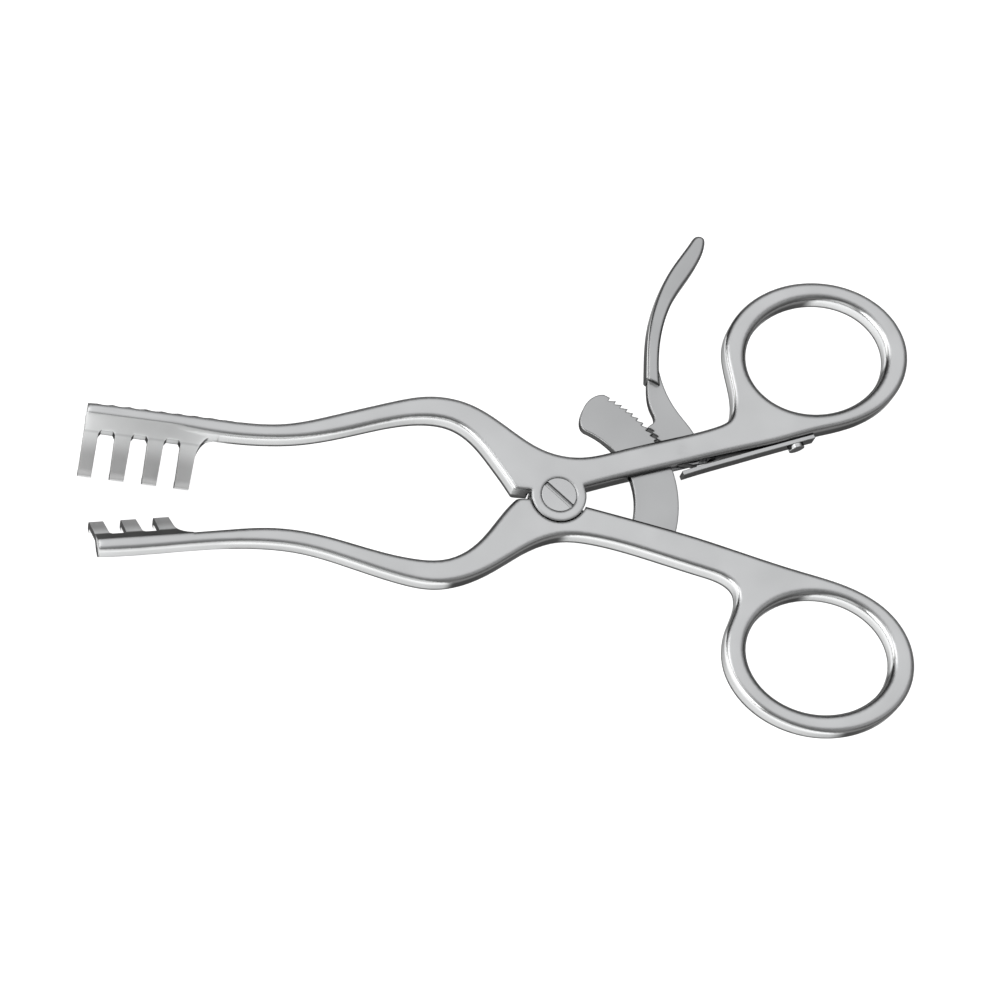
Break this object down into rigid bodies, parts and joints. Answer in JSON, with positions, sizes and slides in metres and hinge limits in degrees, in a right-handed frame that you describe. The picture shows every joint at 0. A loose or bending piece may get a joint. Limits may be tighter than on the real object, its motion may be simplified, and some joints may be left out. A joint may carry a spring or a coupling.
{
  "type": "self retaining retractor",
  "caption": "Scissor-handled self retaining retractor: two curved arms with downturned pronged blades, finger rings, a curved ratchet bar and a sprung thumb release lever.",
  "frame": {"origin": "on the axis of the joint screw, in the plane of the flush front faces", "axes": "+X from the joint towards the finger rings, +Y towards the arm with the larger blade, +Z out of the front faces along the joint axis; the prongs point to -Z"},
  "size_m": [0.1635, 0.1032, 0.0148],
  "materials": {
    "satin_steel": "satin",
    "plate_steel": "satin",
    "screw_steel": "fine satin",
    "spring_steel": "polished"
  },
  "bodies": {
    "lower_half": {"three_prong_arm": "satin_steel", "joint_screw": "screw_steel", "ratchet_bar": "plate_steel", "ratchet_rivet_1": "screw_steel", "ratchet_rivet_2": "screw_steel"},
    "upper_half": {"four_prong_arm": "satin_steel", "lever_pin": "screw_steel", "leaf_spring": "spring_steel", "spring_screw": "screw_steel"},
    "thumb_release": {"release_lever": "plate_steel"}
  },
  "joints": [
    {"name": "arm_pivot", "type": "hinge", "parent": "lower_half", "child": "upper_half", "pos_m": [0, 0, 0], "axis": [0, 0, 1], "range_deg": [-20, 5]},
    {"name": "lever_release", "type": "hinge", "parent": "upper_half", "child": "thumb_release", "pos_m": [0.0253, 0.00921, -0.0026], "axis": [0, 0, 1], "range_deg": [-10, 0], "stiffness_Nm_per_rad": 0.05, "springref_deg": 8.59, "deforming": ["leaf_spring"]}
  ]
}
